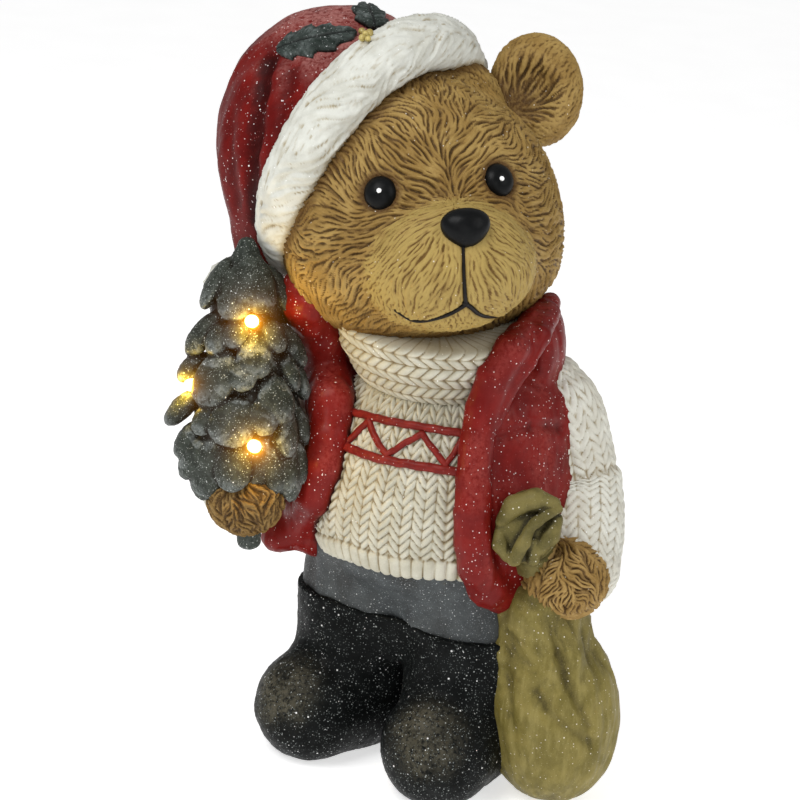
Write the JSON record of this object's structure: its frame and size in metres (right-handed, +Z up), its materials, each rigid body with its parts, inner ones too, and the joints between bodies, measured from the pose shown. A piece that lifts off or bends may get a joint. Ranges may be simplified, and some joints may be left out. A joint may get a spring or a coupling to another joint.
{
  "type": "led christmas bear figurine",
  "caption": "Standing teddy bear Christmas figurine in hat, sweater, vest and boots, holding a lit fir tree and a sack.",
  "frame": {"origin": "middle of the plan box, on the surface the figure stands on", "axes": "+Z up; the bear's body faces -Y; its left hand, with the sack, is at +X"},
  "size_m": [0.1932, 0.1478, 0.2991],
  "materials": {
    "painted_resin": "matte",
    "lamp_lens": "glossy"
  },
  "bodies": {
    "root": {"bear": "painted_resin", "led_1": "lamp_lens", "led_2": "lamp_lens", "led_3": "lamp_lens"}
  },
  "joints": []
}
